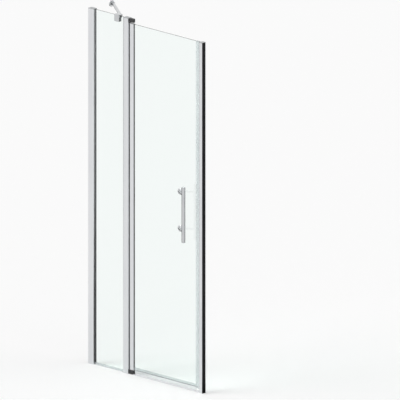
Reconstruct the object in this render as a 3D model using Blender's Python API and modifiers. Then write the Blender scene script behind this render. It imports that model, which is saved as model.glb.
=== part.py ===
"""Pivot shower door with a fixed side panel and a wall stay, built piece by piece.

Metres, +Z up. X runs from the wall that carries the fixed panel to the wall that the door closes on,
with 0 at the middle of the set. Y is 0 at the middle of the glass, negative outside the shower and
positive inside it. Z is 0 on the tray. The door swings out about a vertical axis beside the hinge post
and climbs a helical cam as it opens.
"""
import math

import bmesh
import bpy
from mathutils import Matrix, Vector

# The whole set
SET_WIDTH = 0.808
SET_HEIGHT = 1.850
DOOR_DROP = 0.025
OPENING_ANGLE = math.radians(95)

# Clearances and cutting allowances
GAP = 0.0003
OVERRUN = 0.003
WELD = 0.00001

# Aluminium extrusions
PROFILE_DEPTH = 0.026
PROFILE_WALL = 0.0016
PROFILE_CORNER = 0.0012
CAP_PLATE = 0.002
CAP_PLUG = 0.006
WALL_JOINT = 0.0008
FRAME_WIDTH = 0.0375
FRAME_CHANNEL_REACH = 0.021
CHANNEL_WALL = 0.0015
SLOT_WIDTH = 0.0039
SLOT_LENGTH = 0.009
SLOT_HEIGHT_SHARES = (0.05, 0.275, 0.5, 0.725, 0.95)
CLAMP_HEIGHT_SHARES = (0.08, 0.52, 0.92)
SCREW_HOLE_RADIUS = 0.0019

# Glass, gaskets and the strip under the fixed panel
GLASS = 0.006
GLASS_EASE = 0.0004
POCKET_DEPTH = 0.0114
GLASS_SETBACK = 0.0024
GASKET = 0.0022
GASKET_LENGTH = 0.0085
GASKET_LIP = 0.0008
GASKET_LIP_SHARE = 0.55
GROOVE_FROM = 0.0038
GROOVE_WIDTH = 0.0018
GROOVE_DEPTH = 0.0008
PANEL_FOOT = 0.003
FLOOR_STRIP_HEIGHT = 0.011
FLOOR_STRIP_WALL = 0.0016
FLOOR_STRIP_FLARE = 0.0012

# Hinge post
POST_OFFSET = 0.2478
POST_WIDTH = 0.0351
POST_CHANNEL_DEPTH = 0.0123
POST_MOUTH = 0.011
NOSE_CLEARANCE = 0.0019
SEAL_FOOT = 0.0024
SEAL_SHOULDER = 0.0026
SEAL_FRONT = 0.0009
SEAL_WRAP_ANGLE = math.radians(35)

# Door profile
DOOR_REACH = 0.0241
DOOR_WALL = 0.0013
DOOR_GASKET = 0.0017
DOOR_CORNER = 0.0009
DOOR_PLATE = 0.0015
KEY_WIDTH = 0.002
KEY_DEPTH = 0.001
FOOT_LUG = 0.0025
TOP_PLUG_LENGTH = 0.020

# Pivots and lift cams
BLOCK_HEIGHT = 0.022
TONGUE_HEIGHT = 0.040
TONGUE_EASE = 0.0006
TONGUE_HOLE_DEPTH = 0.008
BLOCK_SCREW_SHARES = (0.27, 0.77)
PIN_RADIUS = 0.0022
PIN_SQUARE = 0.003
PIN_TAIL = 0.0025
PIN_HEAD_RADIUS = 0.0035
PIN_HEAD_HEIGHT = 0.002
BUSH_WALL = 0.0015
BUSH_FLOOR = 0.002
BUSH_LENGTH = 0.0075
BLOCK_FLOOR = 0.003
CAM_SEAT_DEPTH = 0.006
CAM_SEAT_WALL = 0.0009
CAM_BASE = 0.002
CAM_BODY = 0.016
CAM_ROOT = 0.001
CAM_INSET = 0.0001
CAM_LEAD = 0.020
CAM_RELIEF = math.radians(2)
LIFT_CLEARANCE = 0.0007

# Drip seal, threshold and closing edge
DRIP_TOP = 0.012
DRIP_WALL = 0.001
DRIP_NOSE = 0.0105
LIP_THICKNESS = 0.0009
LIP_CLEARANCE = 0.0015
DEFLECTOR_REACH = 0.010
THRESHOLD_HEIGHT = 0.006
THRESHOLD_WIDTH = 0.018
THRESHOLD_RIM = 0.0012
THRESHOLD_CREST_SHARE = 0.3
EDGE_CLIP_REACH = 0.023
EDGE_CLIP_WALL = 0.0012
EDGE_HEAD = 0.0066
CLOSING_GAP = 0.0005
MAGNET_WIDTH = 0.0062
MAGNET_THICKNESS = 0.0035
MAGNET_SETBACK = 0.012
SEAL_FOOT_HEIGHT = 0.0165

# Strike profile on the closing wall
STRIKE_WIDTH = 0.0215
STRIKE_CHANNEL_REACH = 0.0115
STRIKE_POCKET_DEPTH = 0.007
STRIKE_POCKET = 0.011
STRIKE_SEAL_PROUD = 0.0011

# Stay between the fixed panel and the wall
STAY_OFFSET = 0.1995
STAY_DROP = 0.009
STAY_WALL_DEPTH = 0.152
STAY_RADIUS = 0.00775
STAY_WALL = 0.0015
CLAMP_WIDTH = 0.033
CLAMP_PLATE = 0.006
CLAMP_DROP = 0.031
CLAMP_BRIDGE = 0.005
CLAMP_BEVEL = 0.001
LINER = 0.001
EAR_REACH = 0.010
EAR_RADIUS = 0.008
EAR_THICKNESS = 0.0035
EYE_THICKNESS = 0.0068
EYE_NECK = 0.013
EYE_COLLAR = 0.004
EYE_PLUG = 0.012
EYE_EDGE = 0.0005
STAY_PIN_RADIUS = 0.003
STAY_PIN_HEAD = 0.0045
STAY_PIN_HEAD_HEIGHT = 0.0012
FLANGE_RADIUS = 0.017
FLANGE_THICKNESS = 0.005
FLANGE_SCREW_OFFSET = 0.0125
FLANGE_HOLE_RADIUS = 0.0019
GRUB_RADIUS = 0.0028
GRUB_SPACING = 0.018
GRUB_SHARE = 0.35
GRUB_PROUD = 0.0006
HEX_SOCKET = 0.003

# Handle
HANDLE_LENGTH = 0.290
HANDLE_RADIUS = 0.0097
HANDLE_WALL = 0.0015
HANDLE_CENTRE_HEIGHT = 0.917
HANDLE_FOOT_SHARES = (0.855, 0.193)
HANDLE_EDGE_DISTANCE = 0.077
HANDLE_CRANK = 0.061
HANDLE_STANDOFF = 0.045
ARM_RADIUS = 0.0065
ARM_ROOT = 0.001
FOOT_RADIUS = 0.016
FOOT_THICKNESS = 0.006
FOOT_EDGE = 0.0015
DOME_HEIGHT = 0.0025
CAP_SPIGOT = 0.010
WASHER = 0.001
WASHER_INSET = 0.0015
GLASS_HOLE_RADIUS = 0.006
BOLT_RADIUS = 0.003
BOLT_HEAD_RADIUS = 0.005
BOLT_HEAD_HEIGHT = 0.003
BOLT_GRIP = 0.0045
COVER_RADIUS = 0.012
COVER_HEIGHT = 0.008
COVER_WALL = 0.0014
COVER_EDGE = 0.002

# Facets
ROUND_STEPS = 20
SMALL_STEPS = 12
FILLET_STEPS = 3
ARC_STEPS = 10
CAM_STEPS = 18
DOME_STEPS = 4
SMOOTH_ANGLE = math.radians(34)

# Sizes that follow from the ones above
HALF_DEPTH = PROFILE_DEPTH / 2
INNER_HALF = HALF_DEPTH - PROFILE_WALL
EXTRUSION_TOP = SET_HEIGHT - CAP_PLATE - GAP
DOOR_TOP = SET_HEIGHT - DOOR_DROP
STAY_HEIGHT = SET_HEIGHT - STAY_DROP
STRIKE_EXTRUSION_TOP = DOOR_TOP - CAP_PLATE - GAP
GLASS_FACE = GLASS / 2 + GAP
POCKET_HALF = GLASS_FACE + GASKET + GAP
DOOR_POCKET_HALF = GLASS_FACE + DOOR_GASKET + GAP
NOSE_RADIUS = DOOR_POCKET_HALF + DOOR_WALL
HINGE_BORE = DOOR_POCKET_HALF
DOOR_POCKET_X = HINGE_BORE + KEY_DEPTH + DOOR_WALL
AXIS_STANDOFF = NOSE_RADIUS + NOSE_CLEARANCE
LEFT_WALL_X = -SET_WIDTH / 2
RIGHT_WALL_X = SET_WIDTH / 2
POST_X = LEFT_WALL_X + POST_OFFSET
AXIS_X = POST_X + POST_WIDTH + AXIS_STANDOFF
DOOR_EDGE_X = RIGHT_WALL_X - STRIKE_WIDTH - STRIKE_SEAL_PROUD - CLOSING_GAP - AXIS_X
HANDLE_BAR_X = DOOR_EDGE_X - HANDLE_EDGE_DISTANCE
HANDLE_FOOT_X = HANDLE_BAR_X - HANDLE_CRANK
LIFT = CAM_LEAD * OPENING_ANGLE / math.tau
CAM_RISE = CAM_LEAD / 2
DOOR_BOTTOM = BLOCK_HEIGHT + GAP
DOOR_EXTRUSION_BOTTOM = DOOR_BOTTOM + DOOR_PLATE + GAP
DOOR_EXTRUSION_TOP = DOOR_TOP - DOOR_PLATE - GAP
DOOR_GLASS_BOTTOM = DOOR_BOTTOM + DOOR_PLATE + FOOT_LUG + GAP
TOP_BLOCK_BOTTOM = DOOR_TOP + LIFT + LIFT_CLEARANCE
HOLE_FOR_PIN = PIN_RADIUS + GAP
BUSH_RADIUS = HOLE_FOR_PIN + BUSH_WALL
LOWER_CAM_LOW = BLOCK_HEIGHT + CAM_BASE
UPPER_CAM_LOW = LOWER_CAM_LOW + CAM_RISE + GAP
CAM_RADIUS = HINGE_BORE - GAP
SEAT_RADIUS = NOSE_RADIUS - CAM_SEAT_WALL
SLEEVE_INNER = BOLT_RADIUS + GAP

ALONG_X = Matrix(((0, 0, 1, 0), (1, 0, 0, 0), (0, 1, 0, 0), (0, 0, 0, 1)))
OUT = Vector((0, -1, 0))
IN = Vector((0, 1, 0))
UP = Vector((0, 0, 1))


def clear_scene():
    for item in list(bpy.data.objects):
        bpy.data.objects.remove(item)


def new_collection(name):
    collection = bpy.data.collections.new(name)
    bpy.context.scene.collection.children.link(collection)
    return collection


def finish(name, colour, roughness, metallic=0.0, transmission=0.0):
    """A Principled material."""
    material = bpy.data.materials.new(name)
    material.use_nodes = True
    shader = material.node_tree.nodes["Principled BSDF"]
    shader.inputs["Base Color"].default_value = (*colour, 1.0)
    shader.inputs["Roughness"].default_value = roughness
    shader.inputs["Metallic"].default_value = metallic
    shader.inputs["Transmission Weight"].default_value = transmission
    material.diffuse_color = (*colour, 1.0)
    return material


def assembly(name, place, parent=None, turn=0.0):
    """An empty that a group of pieces is placed from."""
    empty = bpy.data.objects.new(name, None)
    PARTS.objects.link(empty)
    empty.location = place
    empty.rotation_euler = (0, 0, turn)
    empty.parent = parent
    return empty


def piece(name, mesh, parent, material):
    """A named solid of the set."""
    solid = bpy.data.objects.new(name, mesh)
    mesh.name = name
    PARTS.objects.link(solid)
    solid.parent = parent
    mesh.materials.clear()
    mesh.materials.append(material)
    mesh.shade_smooth()
    mesh.set_sharp_from_angle(angle=SMOOTH_ANGLE)
    return solid


def combine(solid, mesh, operation="DIFFERENCE"):
    """Cut a mesh out of a solid, or join it on with UNION."""
    tool = bpy.data.objects.new(solid.name + "_tool", mesh)
    TOOLS.objects.link(tool)
    tool.parent = solid.parent
    tool.hide_render = True
    tool.display_type = "WIRE"
    change = solid.modifiers.new(operation.title(), "BOOLEAN")
    change.operation = operation
    change.object = tool


def soften(solid, width, segments=2):
    bevel = solid.modifiers.new("Soft edges", "BEVEL")
    bevel.width = width
    bevel.segments = segments
    bevel.limit_method = "ANGLE"
    bevel.angle_limit = SMOOTH_ANGLE


def mesh_from(work, name="shape"):
    """Write a bmesh out as a mesh with its faces pointing outward."""
    bmesh.ops.recalc_face_normals(work, faces=work.faces)
    mesh = bpy.data.meshes.new(name)
    work.to_mesh(mesh)
    work.free()
    return mesh


def evaluated_mesh(data, flat_caps=False):
    """The welded mesh of a curve, or of an object with modifiers."""
    holder = data
    if not isinstance(data, bpy.types.Object):
        holder = bpy.data.objects.new("holder", data)
        PARTS.objects.link(holder)
    graph = bpy.context.evaluated_depsgraph_get()
    mesh = bpy.data.meshes.new_from_object(holder.evaluated_get(graph))
    bpy.data.objects.remove(holder)
    work = bmesh.new()
    work.from_mesh(mesh)
    bmesh.ops.remove_doubles(work, verts=work.verts, dist=WELD)
    if flat_caps:
        caps = {face for face in work.faces if len({vert.co.z > 0 for vert in face.verts}) == 1}
        inner = [edge for edge in work.edges if caps.issuperset(edge.link_faces)]
        bmesh.ops.beautify_fill(work, faces=list(caps), edges=inner)
    return mesh_from(work)


def copies(mesh, matrices):
    """One mesh holding the shape once for each matrix."""
    work = bmesh.new()
    for matrix in matrices:
        single = mesh.copy()
        single.transform(matrix)
        work.from_mesh(single)
    return mesh_from(work)


def box(low, high):
    """A box between two opposite corners."""
    low = Vector(low)
    size = Vector(high) - low
    work = bmesh.new()
    place = Matrix.Translation(low + size / 2) @ Matrix.Diagonal((*size, 1.0))
    bmesh.ops.create_cube(work, size=1.0, matrix=place)
    return mesh_from(work)


def facing(direction):
    """The rotation that takes +Z to a direction."""
    return Vector(direction).to_track_quat("Z", "Y").to_matrix().to_4x4()


def rod(start, direction, length, radius, steps=ROUND_STEPS):
    """A plain cylinder."""
    work = bmesh.new()
    turn = facing(direction)
    middle = Vector(start) + Vector(direction) * length / 2
    place = Matrix.Translation(middle) @ turn
    bmesh.ops.create_cone(work, cap_ends=True, segments=steps, radius1=radius, radius2=radius,
                          depth=length, matrix=place)
    return mesh_from(work)


def turned(profile, place, direction=UP, steps=ROUND_STEPS):
    """A turned shape. The profile runs down its outer side as (radius, height) points."""
    work = bmesh.new()
    verts = [work.verts.new((radius, 0, height)) for radius, height in profile]
    for first, second in zip(verts, verts[1:]):
        work.edges.new((first, second))
    if profile[0][0] > 0:
        work.edges.new((verts[-1], verts[0]))
    line = bpy.data.meshes.new("profile")
    work.to_mesh(line)
    work.free()
    holder = bpy.data.objects.new("turning", line)
    PARTS.objects.link(holder)
    screw = holder.modifiers.new("Turn", "SCREW")
    screw.axis = "Z"
    screw.steps = steps
    screw.render_steps = steps
    screw.use_merge_vertices = True
    screw.merge_threshold = WELD
    mesh = evaluated_mesh(holder)
    mesh.transform(Matrix.Translation(place) @ facing(direction))
    return mesh


def arc(centre, radius, start, end, steps=ARC_STEPS):
    """Points along an arc, with its angles in radians."""
    return [(centre[0] + radius * math.cos(start + (end - start) * step / steps),
             centre[1] + radius * math.sin(start + (end - start) * step / steps))
            for step in range(steps + 1)]


def rounded(corners):
    """A closed outline. A corner is (x, y), or (x, y, radius) where it has a fillet."""
    points = []
    for index, corner in enumerate(corners):
        if len(corner) == 2:
            points.append(corner)
            continue
        here = Vector(corner[:2])
        before = (Vector(corners[index - 1][:2]) - here).normalized()
        after = (Vector(corners[(index + 1) % len(corners)][:2]) - here).normalized()
        half = before.angle(after) / 2
        centre = here + (before + after).normalized() * corner[2] / math.sin(half)
        first = here + before * corner[2] / math.tan(half) - centre
        last = here + after * corner[2] / math.tan(half) - centre
        start = math.atan2(first.y, first.x)
        sweep = (math.atan2(last.y, last.x) - start + math.pi) % math.tau - math.pi
        points += arc(centre, corner[2], start, start + sweep, FILLET_STEPS)
    return points


def rectangle(low_x, high_x, low_y, high_y, radius=None):
    corners = [(low_x, low_y), (high_x, low_y), (high_x, high_y), (low_x, high_y)]
    if radius:
        corners = [(*corner, radius) for corner in corners]
    return rounded(corners)


def extrusion(loops, low, high, turn=None):
    """A flat outline with its holes, drawn out from low to high along Z, or along X."""
    curve = bpy.data.curves.new("section", "CURVE")
    curve.dimensions = "2D"
    curve.fill_mode = "BOTH"
    curve.extrude = (high - low) / 2
    for loop in loops:
        spline = curve.splines.new("POLY")
        spline.points.add(len(loop) - 1)
        for point, place in zip(spline.points, loop):
            point.co = (place[0], place[1], 0, 1)
        spline.use_cyclic_u = True
    mesh = evaluated_mesh(curve, flat_caps=True)
    mesh.transform(Matrix.Translation((0, 0, (low + high) / 2)))
    if turn:
        mesh.transform(turn)
    return mesh


def keyed_circle(radius, key_half, key_reach):
    """A circle with a square key or keyway standing out of its +X side."""
    angle = math.asin(key_half / radius)
    points = arc((0, 0), radius, angle, math.tau - angle, ROUND_STEPS)
    return points + [(key_reach, -key_half), (key_reach, key_half)]


def spaced(length, shares):
    """Distances along a length, from its shares."""
    return [length * share for share in shares]


def joined(meshes):
    """One mesh of several separate solids."""
    work = bmesh.new()
    for mesh in meshes:
        work.from_mesh(mesh)
    return mesh_from(work)


def groove(mouth, inward, side):
    """The corners of a gasket groove in a pocket wall, from the mouth inward."""
    near = mouth + inward * GROOVE_FROM
    far = near + inward * GROOVE_WIDTH
    wall = side * POCKET_HALF
    bottom = side * (POCKET_HALF + GROOVE_DEPTH)
    return [(near, wall), (near, bottom), (far, bottom), (far, wall)]


def glazing_strip(mouth, inward, side, pocket_half, lip_depth, length, barb):
    """The section of a gasket that fills a pocket beside the glass."""
    face = side * GLASS_FACE
    back = side * (pocket_half - GAP)
    tip = mouth - inward * lip_depth
    points = [(tip, face), (tip, face + (back - face) * GASKET_LIP_SHARE), (mouth, back)]
    if barb:
        near = mouth + inward * (GROOVE_FROM + GAP)
        far = mouth + inward * (GROOVE_FROM + GROOVE_WIDTH - GAP)
        points += [(near, back), (near, back + side * GROOVE_DEPTH), (far, back)]
    end = mouth + inward * length
    return points + [(end, back), (end, face)]


def wall_channel(name, parent, reach, height, clamp_side):
    """The slotted channel that is screwed to a wall, hidden in the profile that slides over it."""
    outer = INNER_HALF - GAP
    inner = outer - CHANNEL_WALL
    section = [(0, -outer), (reach, -outer), (reach, -inner), (CHANNEL_WALL, -inner),
               (CHANNEL_WALL, inner), (reach, inner), (reach, outer), (0, outer)]
    channel = piece(name, extrusion([section], 0, height), parent, ALUMINIUM_BLACK)
    half_width = SLOT_WIDTH / 2
    straight = SLOT_LENGTH / 2 - half_width
    ends = (arc((0, straight), half_width, 0, math.pi, SMALL_STEPS // 2)
            + arc((0, -straight), half_width, math.pi, math.tau, SMALL_STEPS // 2))
    slot = extrusion([ends], -OVERRUN, CHANNEL_WALL + OVERRUN, ALONG_X)
    heights = spaced(height, SLOT_HEIGHT_SHARES)
    slots = copies(slot, [Matrix.Translation((0, 0, z)) for z in heights])
    combine(channel, slots)
    combine(channel, clamp_holes(reach, height, clamp_side))
    return channel


def clamp_holes(reach, height, side):
    """Cutters for the screws that fix a profile on its channel from inside the shower."""
    start = side * (INNER_HALF - CHANNEL_WALL - OVERRUN)
    length = PROFILE_WALL + CHANNEL_WALL + GAP + 2 * OVERRUN
    return joined([rod((reach / 2, start, z), (0, side, 0), length, SCREW_HOLE_RADIUS, SMALL_STEPS)
                   for z in spaced(height, CLAMP_HEIGHT_SHARES)])


def wall_profile(name, parent, width, pocket_depth, pocket_half, top, grooved):
    """The profile over a wall channel, with a pocket on its free side between two chambers."""
    bottom = width - pocket_depth
    web = bottom - PROFILE_WALL
    lower = list(reversed(groove(width, -1, -1))) if grooved else []
    upper = groove(width, -1, 1) if grooved else []
    section = rounded([
        (WALL_JOINT, -HALF_DEPTH), (width, -HALF_DEPTH, PROFILE_CORNER), (width, -pocket_half),
        *reversed(lower), (bottom, -pocket_half), (bottom, pocket_half), *reversed(upper),
        (width, pocket_half), (width, HALF_DEPTH, PROFILE_CORNER), (WALL_JOINT, HALF_DEPTH),
        (WALL_JOINT, INNER_HALF), (web, INNER_HALF), (web, -INNER_HALF), (WALL_JOINT, -INNER_HALF)])
    chamber_wall = pocket_half + PROFILE_WALL
    chambers = [rectangle(bottom, width - PROFILE_WALL, -INNER_HALF, -chamber_wall),
                rectangle(bottom, width - PROFILE_WALL, chamber_wall, INNER_HALF)]
    return piece(name, extrusion([section, *chambers], 0, top), parent, ALUMINIUM)


def wall_profile_cap(name, parent, width, reach, top):
    """The moulded cap on a wall profile, with a plug between the channel's flanges."""
    plate = rounded([(WALL_JOINT, -HALF_DEPTH), (width, -HALF_DEPTH, PROFILE_CORNER),
                     (width, HALF_DEPTH, PROFILE_CORNER), (WALL_JOINT, HALF_DEPTH)])
    cap = piece(name, extrusion([plate], top - CAP_PLATE, top), parent, CAP_GREY)
    side = INNER_HALF - GAP - CHANNEL_WALL - GAP
    plug = box((CHANNEL_WALL + GAP, -side, top - CAP_PLATE - CAP_PLUG), (reach, side, top - CAP_PLATE / 2))
    combine(cap, plug, "UNION")


def build_frame(parent):
    """Wall channel, frame profile, cap and gaskets on the panel's wall."""
    wall_channel("wall_channel", parent, FRAME_CHANNEL_REACH, EXTRUSION_TOP, 1)
    frame = wall_profile("frame_profile", parent, FRAME_WIDTH, POCKET_DEPTH, POCKET_HALF,
                         EXTRUSION_TOP, True)
    combine(frame, clamp_holes(FRAME_CHANNEL_REACH, EXTRUSION_TOP, 1))
    wall_profile_cap("frame_top_cap", parent, FRAME_WIDTH, FRAME_CHANNEL_REACH, SET_HEIGHT)
    for name, side in (("frame_gasket_outer", -1), ("frame_gasket_inner", 1)):
        strip = glazing_strip(FRAME_WIDTH, -1, side, POCKET_HALF, GASKET_LIP, GASKET_LENGTH, True)
        piece(name, extrusion([strip], PANEL_FOOT, EXTRUSION_TOP), parent, GASKET_BLACK)


def build_fixed_panel(parent):
    """The fixed pane and the strip that seals it to the tray."""
    left = FRAME_WIDTH - POCKET_DEPTH + GLASS_SETBACK
    right = POST_OFFSET + POCKET_DEPTH - GLASS_SETBACK
    pane = box((left, -GLASS / 2, PANEL_FOOT), (right, GLASS / 2, EXTRUSION_TOP))
    soften(piece("fixed_glass", pane, parent, CLEAR_GLASS), GLASS_EASE, 1)
    outer = GLASS_FACE + FLOOR_STRIP_WALL
    floor = PANEL_FOOT - GAP
    section = [(-outer - FLOOR_STRIP_FLARE, 0), (outer + FLOOR_STRIP_FLARE, 0), (outer, FLOOR_STRIP_HEIGHT),
               (GLASS_FACE, FLOOR_STRIP_HEIGHT), (GLASS_FACE, floor), (-GLASS_FACE, floor),
               (-GLASS_FACE, FLOOR_STRIP_HEIGHT), (-outer, FLOOR_STRIP_HEIGHT)]
    start = FRAME_WIDTH + GASKET_LIP + GAP
    end = POST_OFFSET - GASKET_LIP - GAP
    piece("panel_floor_seal", extrusion([section], start, end, ALONG_X), parent, CLEAR_SEAL)


def build_post(parent):
    """The hinge post: a glass pocket on one side and an open channel on the door's side."""
    mouth = POST_MOUTH / 2
    channel = POST_WIDTH - POST_CHANNEL_DEPTH
    lip = POST_WIDTH - PROFILE_WALL
    section = rounded([
        (0, -HALF_DEPTH, PROFILE_CORNER), (POST_WIDTH, -HALF_DEPTH, PROFILE_CORNER), (POST_WIDTH, -mouth),
        (lip, -mouth), (lip, -INNER_HALF), (channel, -INNER_HALF), (channel, INNER_HALF), (lip, INNER_HALF),
        (lip, mouth), (POST_WIDTH, mouth), (POST_WIDTH, HALF_DEPTH, PROFILE_CORNER),
        (0, HALF_DEPTH, PROFILE_CORNER), (0, POCKET_HALF), *groove(0, 1, 1), (POCKET_DEPTH, POCKET_HALF),
        (POCKET_DEPTH, -POCKET_HALF), *reversed(groove(0, 1, -1)), (0, -POCKET_HALF)])
    chamber_wall = POCKET_HALF + PROFILE_WALL
    chambers = [rectangle(POCKET_DEPTH + PROFILE_WALL, channel - PROFILE_WALL, -INNER_HALF, INNER_HALF),
                rectangle(PROFILE_WALL, POCKET_DEPTH, chamber_wall, INNER_HALF),
                rectangle(PROFILE_WALL, POCKET_DEPTH, -INNER_HALF, -chamber_wall)]
    post = piece("hinge_post", extrusion([section, *chambers], 0, EXTRUSION_TOP), parent, ALUMINIUM)
    holes = [rod((screw_x() - POST_X, INNER_HALF - OVERRUN, z), IN, PROFILE_WALL + 2 * OVERRUN,
                 SCREW_HOLE_RADIUS, SMALL_STEPS) for z in block_screw_heights()]
    combine(post, joined(holes))

    plate = rectangle(0, POST_WIDTH, -HALF_DEPTH, HALF_DEPTH, PROFILE_CORNER)
    cap = piece("post_top_cap", extrusion([plate], SET_HEIGHT - CAP_PLATE, SET_HEIGHT), parent, CAP_GREY)
    plug = box((POCKET_DEPTH + PROFILE_WALL + GAP, GAP - INNER_HALF, SET_HEIGHT - CAP_PLATE - CAP_PLUG),
               (channel - PROFILE_WALL - GAP, INNER_HALF - GAP, SET_HEIGHT - CAP_PLATE / 2))
    combine(cap, plug, "UNION")
    for name, side in (("post_gasket_outer", -1), ("post_gasket_inner", 1)):
        strip = glazing_strip(0, 1, side, POCKET_HALF, GASKET_LIP, GASKET_LENGTH, True)
        piece(name, extrusion([strip], PANEL_FOOT, EXTRUSION_TOP), parent, GASKET_BLACK)

    neck = mouth - GAP
    foot = neck + SEAL_SHOULDER
    front = lip - GAP
    axis = (POST_WIDTH + AXIS_STANDOFF, 0)
    wrap = arc(axis, NOSE_RADIUS + GAP, math.pi, math.pi - SEAL_WRAP_ANGLE, FILLET_STEPS)
    seal = [(front - SEAL_FOOT, -foot), (front, -foot), (front, -neck), (POST_WIDTH + SEAL_FRONT, -neck),
            *wrap, (POST_WIDTH + SEAL_FRONT, neck), (front, neck), (front, foot), (front - SEAL_FOOT, foot)]
    low = TONGUE_HEIGHT + GAP
    piece("hinge_seal", extrusion([seal], low, SET_HEIGHT - low), parent, GASKET_BLACK)


def screw_x():
    """Where the screws of the pivot blocks stand, midway in the post's channel."""
    return POST_X + POST_WIDTH - (POST_CHANNEL_DEPTH + PROFILE_WALL) / 2


def block_screw_heights():
    low = spaced(TONGUE_HEIGHT, BLOCK_SCREW_SHARES)
    return low + [SET_HEIGHT - z for z in low]


def pivot_block(name, parent, low, high, tongue_low, tongue_high):
    """A block under or over the door, with a tongue that is screwed into the post's channel."""
    reach = DOOR_REACH - GAP
    side = math.asin(NOSE_RADIUS / reach)
    left = GAP - AXIS_STANDOFF
    neck = POST_MOUTH / 2 - GAP
    front = -AXIS_STANDOFF - PROFILE_WALL - GAP
    back = GAP - AXIS_STANDOFF - POST_CHANNEL_DEPTH
    wide = INNER_HALF - GAP
    section = [(back, -wide), (front, -wide), (front, -neck), (left, -neck), (left, -NOSE_RADIUS),
               *arc((0, 0), reach, -side, side), (left, NOSE_RADIUS), (left, neck), (front, neck),
               (front, wide), (back, wide)]
    block = piece(name, extrusion([section], low, high), parent, BLOCK_BLACK)
    tongue = box((back + TONGUE_EASE, TONGUE_EASE - wide, tongue_low),
                 (front - TONGUE_EASE, wide - TONGUE_EASE, tongue_high))
    combine(block, tongue, "UNION")
    heights = [z for z in block_screw_heights() if tongue_low < z < tongue_high]
    start = wide - TONGUE_HOLE_DEPTH
    combine(block, joined([rod((screw_x() - AXIS_X, start, z), IN, TONGUE_HOLE_DEPTH + OVERRUN,
                               SCREW_HOLE_RADIUS, SMALL_STEPS) for z in heights]))
    return block


def cam_lobes(low, hanging):
    """Two ramps round the hinge axis that climb the way the door opens, or the pair that hangs on them."""
    inner = HOLE_FOR_PIN - CAM_ROOT
    outer = CAM_RADIUS - CAM_INSET
    work = bmesh.new()
    for lobe in range(2):
        rings = []
        for step in range(CAM_STEPS + 1):
            travel = CAM_RELIEF + (math.pi - 2 * CAM_RELIEF) * step / CAM_STEPS
            angle = -lobe * math.pi - travel
            top = CAM_LEAD * travel / math.tau
            corners = ((inner, -CAM_ROOT), (outer, -CAM_ROOT), (outer, top), (inner, top))
            rings.append([work.verts.new((radius * math.cos(angle), radius * math.sin(angle), height))
                          for radius, height in corners])
        for first, second in zip(rings, rings[1:]):
            for index in range(4):
                following = (index + 1) % 4
                work.faces.new((first[index], first[following], second[following], second[index]))
        work.faces.new(rings[0])
        work.faces.new(rings[-1])
    bmesh.ops.triangulate(work, faces=work.faces)
    if hanging:
        work.transform(Matrix.Rotation(math.pi, 4, "X"))
    work.transform(Matrix.Translation((0, 0, low)))
    return mesh_from(work)


def bush(name, parent, low, high, floor):
    """A plain bearing bush, closed below where it has a floor."""
    profile = [(BUSH_RADIUS, high), (BUSH_RADIUS, low), (HOLE_FOR_PIN, low), (HOLE_FOR_PIN, high)]
    if floor:
        profile = [(0, low + floor), (HOLE_FOR_PIN, low + floor), (HOLE_FOR_PIN, high), (BUSH_RADIUS, high),
                   (BUSH_RADIUS, low), (0, low)]
    piece(name, turned(profile, (0, 0, 0)), parent, BUSH_WHITE)


def build_lower_pivot(fixed, turning, moving):
    """Block, bush, pin and the pair of cams under the door."""
    seat = BLOCK_HEIGHT - CAM_SEAT_DEPTH
    block = pivot_block("bottom_pivot_block", fixed, 0, BLOCK_HEIGHT, BLOCK_HEIGHT / 2, TONGUE_HEIGHT)
    key_half = KEY_WIDTH / 2
    socket = keyed_circle(SEAT_RADIUS, key_half, SEAT_RADIUS + KEY_DEPTH)
    combine(block, extrusion([socket], seat, BLOCK_HEIGHT + OVERRUN))
    combine(block, rod((0, 0, BLOCK_FLOOR), UP, BLOCK_HEIGHT, BUSH_RADIUS + GAP))
    bush("bottom_pivot_bush", fixed, BLOCK_FLOOR + GAP, seat, BUSH_FLOOR)

    foot = keyed_circle(SEAT_RADIUS - GAP, key_half - GAP, SEAT_RADIUS + KEY_DEPTH - GAP)
    cam = piece("lower_lift_cam", extrusion([foot], seat + GAP, BLOCK_HEIGHT), fixed, CAM_WHITE)
    combine(cam, rod((0, 0, seat + 2 * GAP), UP, LOWER_CAM_LOW - seat - 2 * GAP, CAM_RADIUS), "UNION")
    combine(cam, cam_lobes(LOWER_CAM_LOW, False), "UNION")
    combine(cam, rod((0, 0, 0), UP, LOWER_CAM_LOW + CAM_RISE + OVERRUN, HOLE_FOR_PIN))

    pin_foot = BLOCK_FLOOR + GAP + BUSH_FLOOR + GAP
    pin_top = UPPER_CAM_LOW + CAM_BODY + LIFT + PIN_TAIL
    shoulder = UPPER_CAM_LOW - GAP
    shank = rod((0, 0, pin_foot), UP, shoulder - pin_foot, PIN_RADIUS)
    pin = piece("bottom_pivot_pin", shank, turning, STEEL)
    half = PIN_SQUARE / 2
    combine(pin, box((-half, -half, shoulder - PIN_TAIL), (half, half, pin_top)), "UNION")

    keyed = keyed_circle(CAM_RADIUS, key_half - GAP, HINGE_BORE + KEY_DEPTH - GAP)
    body = extrusion([keyed], UPPER_CAM_LOW, UPPER_CAM_LOW + CAM_BODY)
    upper = piece("upper_lift_cam", body, moving, CAM_WHITE)
    combine(upper, cam_lobes(UPPER_CAM_LOW, True), "UNION")
    combine(upper, rod((0, 0, 0), UP, UPPER_CAM_LOW + CAM_ROOT, HOLE_FOR_PIN))
    half = PIN_SQUARE / 2 + GAP
    combine(upper, box((-half, -half, UPPER_CAM_LOW), (half, half, UPPER_CAM_LOW + CAM_BODY + OVERRUN)))


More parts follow.
